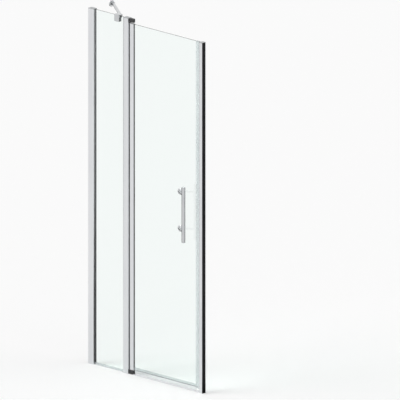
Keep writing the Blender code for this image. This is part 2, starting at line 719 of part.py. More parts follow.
def build_upper_pivot(fixed, turning, moving):
    """Block, bush, pin, cover and the keyed plug in the door's top end."""
    seat = TOP_BLOCK_BOTTOM + BLOCK_FLOOR
    block = pivot_block("top_pivot_block", fixed, TOP_BLOCK_BOTTOM, SET_HEIGHT, SET_HEIGHT - TONGUE_HEIGHT,
                        SET_HEIGHT - CAP_PLATE - GAP)
    trim_low = SET_HEIGHT - CAP_PLATE - GAP
    trim = box((-AXIS_STANDOFF - POST_WIDTH, -HALF_DEPTH, trim_low),
               (GAP - AXIS_STANDOFF, HALF_DEPTH, SET_HEIGHT + OVERRUN))
    combine(block, trim)
    combine(block, rod((0, 0, seat), UP, SET_HEIGHT, BUSH_RADIUS + GAP))
    combine(block, rod((0, 0, TOP_BLOCK_BOTTOM - OVERRUN), UP, BLOCK_HEIGHT, HOLE_FOR_PIN))
    bush_low = seat + GAP
    bush_high = bush_low + BUSH_LENGTH
    bush("top_pivot_bush", fixed, bush_low, bush_high, 0)

    head_low = bush_high + GAP
    head_high = head_low + PIN_HEAD_HEIGHT
    shoulder = DOOR_TOP + LIFT + GAP
    shank = [(0, head_high), (PIN_HEAD_RADIUS, head_high), (PIN_HEAD_RADIUS, head_low),
             (PIN_RADIUS, head_low), (PIN_RADIUS, shoulder), (0, shoulder)]
    pin = piece("top_pivot_pin", turned(shank, (0, 0, 0)), turning, STEEL)
    half = PIN_SQUARE / 2
    plug_low = DOOR_TOP - TOP_PLUG_LENGTH
    combine(pin, box((-half, -half, plug_low - PIN_TAIL), (half, half, shoulder + PIN_TAIL)), "UNION")
    cover = rod((0, 0, head_high + GAP), UP, SET_HEIGHT - head_high - GAP, BUSH_RADIUS)
    piece("top_pivot_cap", cover, fixed, BLOCK_BLACK)

    plate = extrusion([door_section(False)], DOOR_TOP - DOOR_PLATE, DOOR_TOP)
    plug = piece("door_top_plug", plate, moving, CAP_GREY)
    key_half = KEY_WIDTH / 2 - GAP
    keyed = keyed_circle(CAM_RADIUS, key_half, HINGE_BORE + KEY_DEPTH - GAP)
    combine(plug, extrusion([keyed], plug_low, DOOR_TOP - DOOR_PLATE / 2), "UNION")
    half = PIN_SQUARE / 2 + GAP
    combine(plug, box((-half, -half, plug_low - OVERRUN), (half, half, DOOR_TOP + OVERRUN)))


def door_section(with_pocket):
    """The door profile's outline: a round nose about the hinge axis and a pocket for the glass."""
    nose = arc((0, 0), NOSE_RADIUS, math.pi / 2, math.pi * 3 / 2)
    pocket = [(DOOR_REACH, -DOOR_POCKET_HALF), (DOOR_POCKET_X, -DOOR_POCKET_HALF),
              (DOOR_POCKET_X, DOOR_POCKET_HALF), (DOOR_REACH, DOOR_POCKET_HALF)]
    corners = nose + [(DOOR_REACH, -NOSE_RADIUS, DOOR_CORNER)] + (pocket if with_pocket else [])
    return rounded(corners + [(DOOR_REACH, NOSE_RADIUS, DOOR_CORNER)])


def build_door(parent):
    """Door profile, its foot cap and gaskets, the pane, and the seals clipped on the pane."""
    keyway = keyed_circle(HINGE_BORE, KEY_WIDTH / 2, HINGE_BORE + KEY_DEPTH)
    stile = extrusion([door_section(True), keyway], DOOR_EXTRUSION_BOTTOM, DOOR_EXTRUSION_TOP)
    piece("door_profile", stile, parent, ALUMINIUM)
    hole = arc((0, 0), HINGE_BORE, 0, math.tau, ROUND_STEPS)[:-1]
    plate = extrusion([door_section(False), hole], DOOR_BOTTOM, DOOR_BOTTOM + DOOR_PLATE)
    foot = piece("door_foot_cap", plate, parent, CAP_GREY)
    side = DOOR_POCKET_HALF - GAP
    lug = box((DOOR_POCKET_X + GAP, -side, DOOR_BOTTOM + DOOR_PLATE / 2),
              (DOOR_REACH - DOOR_CORNER, side, DOOR_BOTTOM + DOOR_PLATE + FOOT_LUG))
    combine(foot, lug, "UNION")
    depth = DOOR_REACH - DOOR_POCKET_X - 2 * GAP
    for name, side in (("door_gasket_outer", -1), ("door_gasket_inner", 1)):
        strip = glazing_strip(DOOR_REACH, -1, side, DOOR_POCKET_HALF, GASKET_LIP, depth, False)
        piece(name, extrusion([strip], DOOR_GLASS_BOTTOM, DOOR_EXTRUSION_TOP), parent, GASKET_BLACK)

    glass_edge = DOOR_EDGE_X - EDGE_HEAD - GAP
    pane = box((DOOR_POCKET_X + GLASS_SETBACK, -GLASS / 2, DOOR_GLASS_BOTTOM),
               (glass_edge, GLASS / 2, DOOR_EXTRUSION_TOP))
    glass = piece("door_glass", pane, parent, CLEAR_GLASS)
    soften(glass, GLASS_EASE, 1)
    combine(glass, joined([rod((HANDLE_FOOT_X, -GLASS, z), IN, 2 * GLASS, GLASS_HOLE_RADIUS)
                           for z in handle_feet()]))

    clip = glass_edge - EDGE_CLIP_REACH
    outer = GLASS_FACE + EDGE_CLIP_WALL
    head = glass_edge + GAP
    section = [(clip, -outer), (DOOR_EDGE_X, -outer), (DOOR_EDGE_X, outer), (clip, outer),
               (clip, GLASS_FACE), (head, GLASS_FACE), (head, -GLASS_FACE), (clip, -GLASS_FACE)]
    magnet_x = (head + DOOR_EDGE_X) / 2
    half = MAGNET_THICKNESS / 2
    chamber = rectangle(magnet_x - half - GAP, magnet_x + half + GAP, -MAGNET_WIDTH / 2 - GAP,
                        MAGNET_WIDTH / 2 + GAP)
    piece("edge_seal", extrusion([section, chamber], SEAL_FOOT_HEIGHT, DOOR_TOP), parent, CLEAR_SEAL)
    magnet = box((magnet_x - half, -MAGNET_WIDTH / 2, SEAL_FOOT_HEIGHT + MAGNET_SETBACK),
                 (magnet_x + half, MAGNET_WIDTH / 2, DOOR_TOP - MAGNET_SETBACK))
    piece("edge_magnet", magnet, parent, MAGNET_BROWN)
    build_drip_seal(parent, DOOR_REACH + GASKET_LIP + GAP, clip - GAP)


def build_drip_seal(parent, start, end):
    """The strip clipped under the pane: a hanging lip and a blade that sends drops inward."""
    floor = DOOR_GLASS_BOTTOM - GAP
    outer = GLASS_FACE + DRIP_WALL
    base = floor - DRIP_WALL
    lip_foot = THRESHOLD_HEIGHT + LIP_CLEARANCE
    half = LIP_THICKNESS / 2
    blade_foot = DOOR_GLASS_BOTTOM - DRIP_NOSE
    blade = outer + DEFLECTOR_REACH
    section = [(-outer, base), (-outer + DRIP_WALL, base - DRIP_WALL), (-half, base - DRIP_WALL),
               (-half, lip_foot), (half, lip_foot), (half, base - DRIP_WALL),
               (outer - DRIP_WALL, base - DRIP_WALL), (blade, blade_foot),
               (blade, blade_foot + DRIP_WALL), (outer, base + DRIP_WALL),
               (outer, floor + DRIP_TOP), (GLASS_FACE, floor + DRIP_TOP), (GLASS_FACE, floor),
               (-GLASS_FACE, floor), (-GLASS_FACE, floor + DRIP_TOP), (-outer, floor + DRIP_TOP)]
    piece("drip_seal", extrusion([section], start, end, ALONG_X), parent, CLEAR_SEAL)


def build_threshold():
    """The low rail stuck to the tray under the door."""
    half = THRESHOLD_WIDTH / 2
    crest = half * THRESHOLD_CREST_SHARE
    section = [(-half, 0), (half, 0), (half, THRESHOLD_RIM), (crest, THRESHOLD_HEIGHT),
               (-crest, THRESHOLD_HEIGHT), (-half, THRESHOLD_RIM)]
    start = AXIS_X + DOOR_REACH
    end = RIGHT_WALL_X - STRIKE_WIDTH - STRIKE_SEAL_PROUD - GAP
    piece("threshold_rail", extrusion([section], start, end, ALONG_X), None, ALUMINIUM)


def build_strike(parent):
    """Channel, profile, cap and magnet seal on the wall that the door closes on."""
    wall_channel("strike_channel", parent, STRIKE_CHANNEL_REACH, STRIKE_EXTRUSION_TOP, -1)
    half = STRIKE_POCKET / 2
    strike = wall_profile("strike_profile", parent, STRIKE_WIDTH, STRIKE_POCKET_DEPTH, half,
                          STRIKE_EXTRUSION_TOP, False)
    combine(strike, clamp_holes(STRIKE_CHANNEL_REACH, STRIKE_EXTRUSION_TOP, -1))
    wall_profile_cap("strike_top_cap", parent, STRIKE_WIDTH, STRIKE_CHANNEL_REACH, DOOR_TOP)
    back = STRIKE_WIDTH - STRIKE_POCKET_DEPTH + GAP
    front = STRIKE_WIDTH + STRIKE_SEAL_PROUD
    seal = rectangle(back, front, GAP - half, half - GAP)
    middle = (back + front) / 2
    thin = MAGNET_THICKNESS / 2
    wide = MAGNET_WIDTH / 2
    chamber = rectangle(middle - thin - GAP, middle + thin + GAP, -wide - GAP, wide + GAP)
    piece("strike_magnet_seal", extrusion([seal, chamber], GAP, STRIKE_EXTRUSION_TOP), parent, CLEAR_SEAL)
    magnet = box((middle - thin, -wide, MAGNET_SETBACK),
                 (middle + thin, wide, DOOR_TOP - 2 * MAGNET_SETBACK))
    piece("strike_magnet", magnet, parent, MAGNET_BROWN)


def ear_outline(reach, root):
    """An ear with a round end about the pin, running back to its root."""
    end = arc((reach, 0), EAR_RADIUS, -math.pi / 2, math.pi / 2)
    return [(root, -EAR_RADIUS), *end, (root, EAR_RADIUS)]


def fork(root, reach, turn):
    """Two ears above and below the eye, along X before the turn."""
    inner = EYE_THICKNESS / 2 + GAP
    ears = [extrusion([ear_outline(reach, root)], STAY_HEIGHT + low, STAY_HEIGHT + low + EAR_THICKNESS)
            for low in (inner, -inner - EAR_THICKNESS)]
    mesh = joined(ears)
    mesh.transform(turn)
    return mesh


def stay_pin(name, parent, place):
    """A headed pin through a fork and its eye."""
    half = EYE_THICKNESS / 2 + GAP + EAR_THICKNESS + GAP
    top = half + STAY_PIN_HEAD_HEIGHT
    profile = [(0, top), (STAY_PIN_HEAD, top), (STAY_PIN_HEAD, half), (STAY_PIN_RADIUS, half),
               (STAY_PIN_RADIUS, -half), (STAY_PIN_HEAD, -half), (STAY_PIN_HEAD, -top), (0, -top)]
    piece(name, turned(profile, (place.x, place.y, STAY_HEIGHT), UP, SMALL_STEPS), parent, CHROME)


def bar_eye(name, parent, place, direction):
    """A flat eye for the pin, with a collar and a plug that fits the bar's bore."""
    angle = math.atan2(direction.y, direction.x)
    half = EYE_THICKNESS / 2
    radius = EAR_RADIUS - EYE_EDGE
    eye = [*arc((0, 0), radius, math.pi / 2, math.pi * 3 / 2), (EYE_NECK, -radius), (EYE_NECK, radius)]
    hole = arc((0, 0), STAY_PIN_RADIUS + GAP, 0, math.tau, SMALL_STEPS)[:-1]
    matrix = Matrix.Translation((place.x, place.y, STAY_HEIGHT)) @ Matrix.Rotation(angle, 4, "Z")
    mesh = extrusion([eye, hole], -half, half, matrix)
    solid = piece(name, mesh, parent, CHROME)
    bore = STAY_RADIUS - STAY_WALL
    collar_end = EYE_NECK + EYE_COLLAR
    collar = EYE_NECK - EYE_EDGE
    tip = collar_end + EYE_PLUG
    profile = [(0, tip), (bore - GAP, tip), (bore - GAP, collar_end), (STAY_RADIUS, collar_end),
               (STAY_RADIUS, collar), (0, collar)]
    plug = turned(profile, (0, 0, 0), (1, 0, 0))
    plug.transform(matrix)
    combine(solid, plug, "UNION")


def build_stay(parent):
    """The clamp on the pane's top edge, the swivelling bar and its bracket on the wall."""
    top = EXTRUSION_TOP
    liner_face = GLASS_FACE + LINER
    plate_face = liner_face + GAP
    outer = plate_face + CLAMP_PLATE
    bridge = top + GAP + LINER + GAP
    low = top - CLAMP_DROP
    half = CLAMP_WIDTH / 2
    section = [(-outer, low), (-plate_face, low), (-plate_face, bridge), (plate_face, bridge),
               (plate_face, low), (outer, low), (outer, bridge + CLAMP_BRIDGE),
               (-outer, bridge + CLAMP_BRIDGE)]
    body = extrusion([section], STAY_OFFSET - half, STAY_OFFSET + half, ALONG_X)
    clamp = piece("stay_clamp", body, parent, CHROME)
    soften(clamp, CLAMP_BEVEL)
    quarter = Matrix.Translation((STAY_OFFSET, 0, 0)) @ Matrix.Rotation(math.pi / 2, 4, "Z")
    pivot_y = outer + EAR_REACH
    combine(clamp, fork(outer - CLAMP_PLATE / 2, pivot_y, quarter), "UNION")
    glass_pivot = Vector((STAY_OFFSET, pivot_y, 0))
    drill_low = STAY_HEIGHT - EYE_THICKNESS - 2 * EAR_THICKNESS
    drill = 2 * (EYE_THICKNESS + 2 * EAR_THICKNESS)
    hole = STAY_PIN_RADIUS + GAP
    combine(clamp, rod((glass_pivot.x, glass_pivot.y, drill_low), UP, drill, hole, SMALL_STEPS))
    grub_z = low + CLAMP_DROP * GRUB_SHARE
    grub_x = [STAY_OFFSET - GRUB_SPACING / 2, STAY_OFFSET + GRUB_SPACING / 2]
    combine(clamp, joined([rod((x, plate_face - GAP, grub_z), IN, CLAMP_PLATE + OVERRUN, GRUB_RADIUS + GAP,
                               SMALL_STEPS) for x in grub_x]))
    liner_low = low + CLAMP_BEVEL
    liner = [(-liner_face, liner_low), (-GLASS_FACE, liner_low), (-GLASS_FACE, top + GAP),
             (GLASS_FACE, top + GAP), (GLASS_FACE, liner_low), (liner_face, liner_low),
             (liner_face, top + GAP + LINER), (-liner_face, top + GAP + LINER)]
    inset = half - CLAMP_BEVEL
    pad = extrusion([liner], STAY_OFFSET - inset, STAY_OFFSET + inset, ALONG_X)
    piece("stay_clamp_liner", pad, parent, GASKET_BLACK)
    length = CLAMP_PLATE + GRUB_PROUD
    grub = [(0, length - HEX_SOCKET), (HEX_SOCKET / 2, length - HEX_SOCKET), (HEX_SOCKET / 2, length),
            (GRUB_RADIUS, length), (GRUB_RADIUS, 0), (0, 0)]
    for name, x in zip(("stay_grub_screw_left", "stay_grub_screw_right"), grub_x):
        piece(name, turned(grub, (x, plate_face, grub_z), IN, SMALL_STEPS), parent, STEEL)

    wall_pivot = Vector((FLANGE_THICKNESS + EAR_REACH, STAY_WALL_DEPTH, 0))
    flange = turned([(0, FLANGE_THICKNESS), (FLANGE_RADIUS - CLAMP_BEVEL, FLANGE_THICKNESS),
                     (FLANGE_RADIUS, FLANGE_THICKNESS - CLAMP_BEVEL), (FLANGE_RADIUS, 0), (0, 0)],
                    (0, STAY_WALL_DEPTH, STAY_HEIGHT), (1, 0, 0))
    bracket = piece("stay_wall_bracket", flange, parent, CHROME)
    shift = Matrix.Translation((0, STAY_WALL_DEPTH, 0))
    combine(bracket, fork(FLANGE_THICKNESS / 2, wall_pivot.x, shift), "UNION")
    combine(bracket, rod((wall_pivot.x, wall_pivot.y, drill_low), UP, drill, hole, SMALL_STEPS))
    combine(bracket, joined([rod((-OVERRUN, STAY_WALL_DEPTH + y, STAY_HEIGHT), (1, 0, 0),
                                 FLANGE_THICKNESS + 2 * OVERRUN, FLANGE_HOLE_RADIUS, SMALL_STEPS)
                             for y in (-FLANGE_SCREW_OFFSET, FLANGE_SCREW_OFFSET)]))
    stay_pin("stay_clamp_pin", parent, glass_pivot)
    stay_pin("stay_wall_pin", parent, wall_pivot)

    run = wall_pivot - glass_pivot
    direction = run.normalized()
    bar_eye("stay_eye_clamp_end", parent, glass_pivot, direction)
    bar_eye("stay_eye_wall_end", parent, wall_pivot, -direction)
    inset = EYE_NECK + EYE_COLLAR + GAP
    start = glass_pivot + direction * inset
    length = run.length - 2 * inset
    bore = STAY_RADIUS - STAY_WALL
    tube = [(STAY_RADIUS, length), (STAY_RADIUS, 0), (bore, 0), (bore, length)]
    piece("stay_bar", turned(tube, (start.x, start.y, STAY_HEIGHT), direction), parent, CHROME)


def handle_feet():
    """The heights of the two feet of the handle, the upper one first."""
    low = HANDLE_CENTRE_HEIGHT - HANDLE_LENGTH / 2
    return [low + distance for distance in spaced(HANDLE_LENGTH, HANDLE_FOOT_SHARES)]


def slanted_arm(foot_y, height):
    """A straight round arm from the foot plate to the bar, with its root cut level with the plate."""
    face = Vector((HANDLE_FOOT_X, foot_y - FOOT_THICKNESS, height))
    run = Vector((HANDLE_BAR_X, -HANDLE_STANDOFF, height)) - face
    arm = rod(face, run.normalized(), run.length, ARM_RADIUS)
    root_y = face.y + ARM_ROOT
    for vert in arm.vertices:
        if (vert.co - face).dot(run) < run.length_squared / 2:
            vert.co += run * (root_y - vert.co.y) / run.y
    return arm


def build_handle(parent):
    """The outside handle bar on two slanted arms, and the fixings through the pane."""
    low = HANDLE_CENTRE_HEIGHT - HANDLE_LENGTH / 2
    high = HANDLE_CENTRE_HEIGHT + HANDLE_LENGTH / 2
    bore = HANDLE_RADIUS - HANDLE_WALL
    bar_place = (HANDLE_BAR_X, -HANDLE_STANDOFF, 0)
    tube = [(HANDLE_RADIUS, high - DOME_HEIGHT), (HANDLE_RADIUS, low + DOME_HEIGHT),
            (bore, low + DOME_HEIGHT), (bore, high - DOME_HEIGHT)]
    piece("handle_bar", turned(tube, bar_place), parent, CHROME)
    angles = [math.pi / 2 * step / DOME_STEPS for step in range(DOME_STEPS + 1)]
    dome = [(HANDLE_RADIUS * math.sin(angle), DOME_HEIGHT * math.cos(angle)) for angle in angles[1:-1]]
    cap = [(0, DOME_HEIGHT), *dome, (HANDLE_RADIUS, 0), (bore - GAP, 0), (bore - GAP, -CAP_SPIGOT),
           (0, -CAP_SPIGOT)]
    for name, height, direction in (("handle_top_cap", high - DOME_HEIGHT + GAP, UP),
                                    ("handle_bottom_cap", low + DOME_HEIGHT - GAP, -UP)):
        piece(name, turned(cap, (HANDLE_BAR_X, -HANDLE_STANDOFF, height), direction), parent, CHROME)

    flange_y = -GLASS_FACE - WASHER
    foot_y = flange_y - GAP
    foot = [(0, FOOT_THICKNESS), (FOOT_RADIUS - FOOT_EDGE, FOOT_THICKNESS),
            (FOOT_RADIUS, FOOT_THICKNESS - FOOT_EDGE), (FOOT_RADIUS, 0), (0, 0)]
    flange = FOOT_RADIUS - WASHER_INSET
    sleeve = GLASS_HOLE_RADIUS - GAP
    sleeve_end = WASHER + GAP + GLASS
    bush_profile = [(sleeve, sleeve_end), (sleeve, WASHER), (flange, WASHER), (flange, 0),
                    (SLEEVE_INNER, 0), (SLEEVE_INNER, sleeve_end)]
    cover_bore = COVER_RADIUS - COVER_WALL
    ring = [(cover_bore - GAP, WASHER), (cover_bore - GAP, 0), (SLEEVE_INNER, 0), (SLEEVE_INNER, WASHER)]
    head_y = GLASS_FACE + WASHER + GAP
    tip = foot_y - BOLT_GRIP - head_y
    bolt = [(0, BOLT_HEAD_HEIGHT), (BOLT_HEAD_RADIUS, BOLT_HEAD_HEIGHT), (BOLT_HEAD_RADIUS, 0),
            (BOLT_RADIUS, 0), (BOLT_RADIUS, tip), (0, tip)]
    ceiling = COVER_HEIGHT - COVER_WALL
    cover = [(0, COVER_HEIGHT), (COVER_RADIUS - COVER_EDGE, COVER_HEIGHT),
             (COVER_RADIUS, COVER_HEIGHT - COVER_EDGE), (COVER_RADIUS, 0), (cover_bore, 0),
             (cover_bore, ceiling - COVER_EDGE / 2),
             (cover_bore - COVER_EDGE / 2, ceiling), (0, ceiling)]
    fixings = (("glass_bush", bush_profile, flange_y, NYLON), ("inner_washer", ring, GLASS_FACE, NYLON),
               ("bolt", bolt, head_y, STEEL), ("inner_cover", cover, GLASS_FACE, CHROME))
    for level, height in zip(("upper", "lower"), handle_feet()):
        plate = turned(foot, (HANDLE_FOOT_X, foot_y, height), OUT)
        arm = piece(f"handle_{level}_arm", plate, parent, CHROME)
        combine(arm, slanted_arm(foot_y, height), "UNION")
        combine(arm, rod((HANDLE_BAR_X, -HANDLE_STANDOFF, height - FOOT_RADIUS), UP, 2 * FOOT_RADIUS,
                         HANDLE_RADIUS + GAP))
        combine(arm, rod((HANDLE_FOOT_X, foot_y + OVERRUN, height), OUT, BOLT_GRIP + GAP + OVERRUN,
                         SLEEVE_INNER, SMALL_STEPS))
        for name, profile, depth, material in fixings:
            solid = turned(profile, (HANDLE_FOOT_X, depth, height), IN)
            piece(f"handle_{level}_{name}", solid, parent, material)


clear_scene()
PARTS = new_collection("shower_door")
TOOLS = new_collection("cutting_shapes")
ALUMINIUM = finish("polished_aluminium", (0.78, 0.79, 0.80), 0.16, 1.0)
ALUMINIUM_BLACK = finish("black_anodised", (0.03, 0.03, 0.032), 0.45, 1.0)
CHROME = finish("chrome", (0.82, 0.83, 0.84), 0.06, 1.0)
STEEL = finish("stainless_steel", (0.60, 0.60, 0.59), 0.25, 1.0)
CLEAR_GLASS = finish("clear_glass", (0.86, 0.95, 0.92), 0.02, 0.0, 1.0)
CLEAR_SEAL = finish("clear_seal", (0.84, 0.87, 0.88), 0.22, 0.0, 0.6)
GASKET_BLACK = finish("black_gasket", (0.02, 0.02, 0.02), 0.55)
BLOCK_BLACK = finish("black_moulding", (0.025, 0.025, 0.028), 0.42)
CAP_GREY = finish("grey_moulding", (0.42, 0.43, 0.44), 0.4)
CAM_WHITE = finish("acetal", (0.82, 0.82, 0.79), 0.35)
BUSH_WHITE = finish("nylon_bush", (0.78, 0.78, 0.74), 0.4)
NYLON = finish("nylon_washer", (0.80, 0.81, 0.80), 0.4)
MAGNET_BROWN = finish("magnet_strip", (0.11, 0.09, 0.08), 0.6)

LEFT_WALL = assembly("left_wall", (LEFT_WALL_X, 0, 0))
POST = assembly("post_edge", (POST_X, 0, 0))
HINGE = assembly("hinge_axis", (AXIS_X, 0, 0))
DOOR_SWING = assembly("door_swing", (AXIS_X, 0, 0))
DOOR_LIFT = assembly("door_lift", (0, 0, 0), DOOR_SWING)
RIGHT_WALL = assembly("right_wall", (RIGHT_WALL_X, 0, 0), None, math.pi)

build_frame(LEFT_WALL)
build_fixed_panel(LEFT_WALL)
build_post(POST)
build_lower_pivot(HINGE, DOOR_SWING, DOOR_LIFT)
build_upper_pivot(HINGE, DOOR_SWING, DOOR_LIFT)
build_door(DOOR_LIFT)
build_threshold()
build_strike(RIGHT_WALL)
build_stay(LEFT_WALL)
build_handle(DOOR_LIFT)
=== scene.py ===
"""Looks of the pivot shower door: finishes, small screws, studio and camera."""

import math
import random

import bmesh
import bpy
from mathutils import Matrix, Vector


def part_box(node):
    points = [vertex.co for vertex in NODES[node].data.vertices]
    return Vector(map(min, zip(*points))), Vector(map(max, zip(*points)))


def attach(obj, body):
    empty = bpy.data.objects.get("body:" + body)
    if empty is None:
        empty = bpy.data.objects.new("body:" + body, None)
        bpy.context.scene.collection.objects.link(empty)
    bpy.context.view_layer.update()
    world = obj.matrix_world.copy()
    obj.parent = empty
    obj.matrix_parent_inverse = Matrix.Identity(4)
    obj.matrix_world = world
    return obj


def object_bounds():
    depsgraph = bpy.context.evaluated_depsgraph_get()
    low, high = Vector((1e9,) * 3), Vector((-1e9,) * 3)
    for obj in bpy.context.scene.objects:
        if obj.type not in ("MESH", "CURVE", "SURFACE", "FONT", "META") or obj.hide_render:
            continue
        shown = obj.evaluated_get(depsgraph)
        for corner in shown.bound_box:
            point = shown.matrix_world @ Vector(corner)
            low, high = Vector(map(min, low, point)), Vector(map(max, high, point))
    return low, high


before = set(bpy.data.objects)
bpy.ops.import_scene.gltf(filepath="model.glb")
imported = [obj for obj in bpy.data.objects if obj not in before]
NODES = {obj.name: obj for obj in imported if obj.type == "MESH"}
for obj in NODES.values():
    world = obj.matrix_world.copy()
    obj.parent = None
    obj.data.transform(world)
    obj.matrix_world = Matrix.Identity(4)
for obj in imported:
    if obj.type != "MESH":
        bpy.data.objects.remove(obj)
cad_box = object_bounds()

SMOOTH_ANGLE = math.radians(34)
WELD = 0.000001
ARRIS_RADIUS = 0.0004
FINE_ARRIS_RADIUS = 0.0002


# Shader nodes

MIX_SHARE = 0
MIX_FIRST = 6
MIX_SECOND = 7
MIX_RESULT = 2


def connect(tree, start, end):
    tree.links.new(start, end)


def new_node(tree, kind, **settings):
    made = tree.nodes.new(kind)
    for key, value in settings.items():
        setattr(made, key, value)
    return made


def feed(tree, socket, value):
    """Put a value, a colour or another node's output into a socket."""
    if isinstance(value, bpy.types.NodeSocket):
        connect(tree, value, socket)
    else:
        socket.default_value = value


def place(tree, scale):
    """Object coordinates in metres, times a scale along each axis."""
    source = new_node(tree, "ShaderNodeTexCoord")
    mapping = new_node(tree, "ShaderNodeMapping")
    mapping.inputs["Scale"].default_value = scale
    connect(tree, source.outputs["Object"], mapping.inputs["Vector"])
    return mapping.outputs["Vector"]


def noise(tree, waves, detail=2.0):
    """Noise with a number of waves in a metre along each axis."""
    made = new_node(tree, "ShaderNodeTexNoise")
    made.inputs["Scale"].default_value = 1.0
    made.inputs["Detail"].default_value = detail
    connect(tree, place(tree, waves), made.inputs["Vector"])
    return made.outputs["Fac"]


def spread(tree, value, low, high, start=0.3, end=0.7):
    """A value brought from start..end to low..high."""
    made = new_node(tree, "ShaderNodeMapRange")
    made.inputs["From Min"].default_value = start
    made.inputs["From Max"].default_value = end
    made.inputs["To Min"].default_value = low
    made.inputs["To Max"].default_value = high
    connect(tree, value, made.inputs["Value"])
    return made.outputs["Result"]


def calculate(tree, operation, first, second):
    made = new_node(tree, "ShaderNodeMath", operation=operation, use_clamp=True)
    feed(tree, made.inputs[0], first)
    feed(tree, made.inputs[1], second)
    return made.outputs["Value"]


def mixed(tree, share, first, second):
    """A colour between two, each a colour or another mix."""
    made = new_node(tree, "ShaderNodeMix", data_type="RGBA")
    for place_in_node, colour in ((MIX_FIRST, first), (MIX_SECOND, second)):
        given = colour if isinstance(colour, bpy.types.NodeSocket) else (*colour, 1.0)
        feed(tree, made.inputs[place_in_node], given)
    connect(tree, share, made.inputs[MIX_SHARE])
    return made.outputs[MIX_RESULT]


def arrises(tree, radius):
    """(normal rounded at the arrises, share of arris at a point)."""
    soft = new_node(tree, "ShaderNodeBevel", samples=4)
    soft.inputs["Radius"].default_value = radius
    flat = new_node(tree, "ShaderNodeNewGeometry")
    dot = new_node(tree, "ShaderNodeVectorMath", operation="DOT_PRODUCT")
    connect(tree, soft.outputs["Normal"], dot.inputs[0])
    connect(tree, flat.outputs["Normal"], dot.inputs[1])
    return soft.outputs["Normal"], spread(tree, dot.outputs["Value"], 1.0, 0.0, start=0.9, end=0.995)


def bump(tree, height, relief, normal=None):
    """A normal that follows a height, which stands for so many metres."""
    made = new_node(tree, "ShaderNodeBump")
    made.inputs["Strength"].default_value = 1.0
    made.inputs["Distance"].default_value = relief
    connect(tree, height, made.inputs["Height"])
    if normal:
        connect(tree, normal, made.inputs["Normal"])
    return made.outputs["Normal"]


def extruded(run, along, across):
    """Waves in a metre for the lines that a die leaves along an extrusion's run."""
    return [along if axis == run else across for axis in "xyz"]


# Kinds of material

LINE_SHARE = 0.7
CLOUD_SHARE = 0.3
METAL_RUB = 0.5
PLASTIC_RUB = 0.45
CALM_SHARE = 0.35
GRAINS_IN_PATCH = 25


def principled(name, metallic=0.0, ior=1.5, transmission=0.0, coat=0.0):
    """A new material with its node tree and its Principled shader's sockets."""
    made = bpy.data.materials.new(name)
    made.use_nodes = True
    sockets = made.node_tree.nodes["Principled BSDF"].inputs
    sockets["Metallic"].default_value = metallic
    sockets["IOR"].default_value = ior
    sockets["Transmission Weight"].default_value = transmission
    sockets["Coat Weight"].default_value = coat
    return made, made.node_tree, sockets


def metal(name, pale, dark, smooth, rough, streaks, clouds, relief, arris=ARRIS_RADIUS):
    """A metal with drawn or polished streaks, faint clouding and softly rounded, rubbed arrises."""
    made, tree, sockets = principled(name, metallic=1.0)
    lines = noise(tree, streaks, 3.0)
    patches = noise(tree, clouds, 4.0)
    rounded, arris_share = arrises(tree, arris)
    tone = mixed(tree, spread(tree, patches, 0.0, 1.0), dark, pale)
    rubbed = calculate(tree, "MULTIPLY", arris_share, METAL_RUB)
    connect(tree, mixed(tree, rubbed, tone, pale), sockets["Base Color"])
    fine = calculate(tree, "MULTIPLY", lines, LINE_SHARE)
    broad = calculate(tree, "MULTIPLY", patches, CLOUD_SHARE)
    both = calculate(tree, "ADD", fine, broad)
    connect(tree, spread(tree, both, smooth, rough), sockets["Roughness"])
    connect(tree, bump(tree, lines, relief, rounded), sockets["Normal"])
    return made


def moulded(name, base, speck, worn, smooth, rough, grain, relief, coat=0.0):
    """A moulded plastic or rubber with a fine spark-eroded grain and paler, smoother arrises."""
    made, tree, sockets = principled(name, coat=coat)
    fine = noise(tree, (grain, grain, grain), 3.0)
    patch = grain / GRAINS_IN_PATCH
    broad = noise(tree, (patch, patch, patch))
    rounded, arris_share = arrises(tree, ARRIS_RADIUS)
    tone = mixed(tree, spread(tree, fine, 0.0, 1.0), base, speck)
    calm = calculate(tree, "MULTIPLY", spread(tree, broad, 0.0, 1.0), CALM_SHARE)
    rubbed = calculate(tree, "MULTIPLY", arris_share, PLASTIC_RUB)
    connect(tree, mixed(tree, rubbed, mixed(tree, calm, tone, base), worn), sockets["Base Color"])
    connect(tree, spread(tree, broad, smooth, rough), sockets["Roughness"])
    connect(tree, bump(tree, fine, relief, rounded), sockets["Normal"])
    return made


def passing_light(tree, share, tint):
    """Let the lamps through, as thin glass does."""
    path = new_node(tree, "ShaderNodeLightPath")
    clear = new_node(tree, "ShaderNodeBsdfTransparent")
    clear.inputs["Color"].default_value = (*tint, 1.0)
    joined = new_node(tree, "ShaderNodeMixShader")
    passed = calculate(tree, "MULTIPLY", path.outputs["Is Shadow Ray"], share)
    connect(tree, passed, joined.inputs[0])
    connect(tree, tree.nodes["Principled BSDF"].outputs["BSDF"], joined.inputs[1])
    connect(tree, clear.outputs["BSDF"], joined.inputs[2])
    connect(tree, joined.outputs["Shader"], tree.nodes["Material Output"].inputs["Surface"])


# Metals

def bright_anodised(run="z"):
    """Polished silver anodised profile, with die lines along its run."""
    return metal(f"bright_anodised_{run}", pale=(0.76, 0.77, 0.785), dark=(0.70, 0.71, 0.73),
                 smooth=0.12, rough=0.24, streaks=extruded(run, 5.0, 2600.0),
                 clouds=extruded(run, 3.0, 14.0), relief=0.000004)


def black_anodised():
    """Matt near-black profile with upright die lines; its black is painted shade, standing in for
    the shadow on the wall channel's back.
    """
    return metal("painted_shade_black_film", pale=(0.028, 0.028, 0.030), dark=(0.016, 0.016, 0.018),
                 smooth=0.36, rough=0.52, streaks=extruded("z", 4.0, 1500.0),
                 clouds=extruded("z", 6.0, 30.0), relief=0.00001)


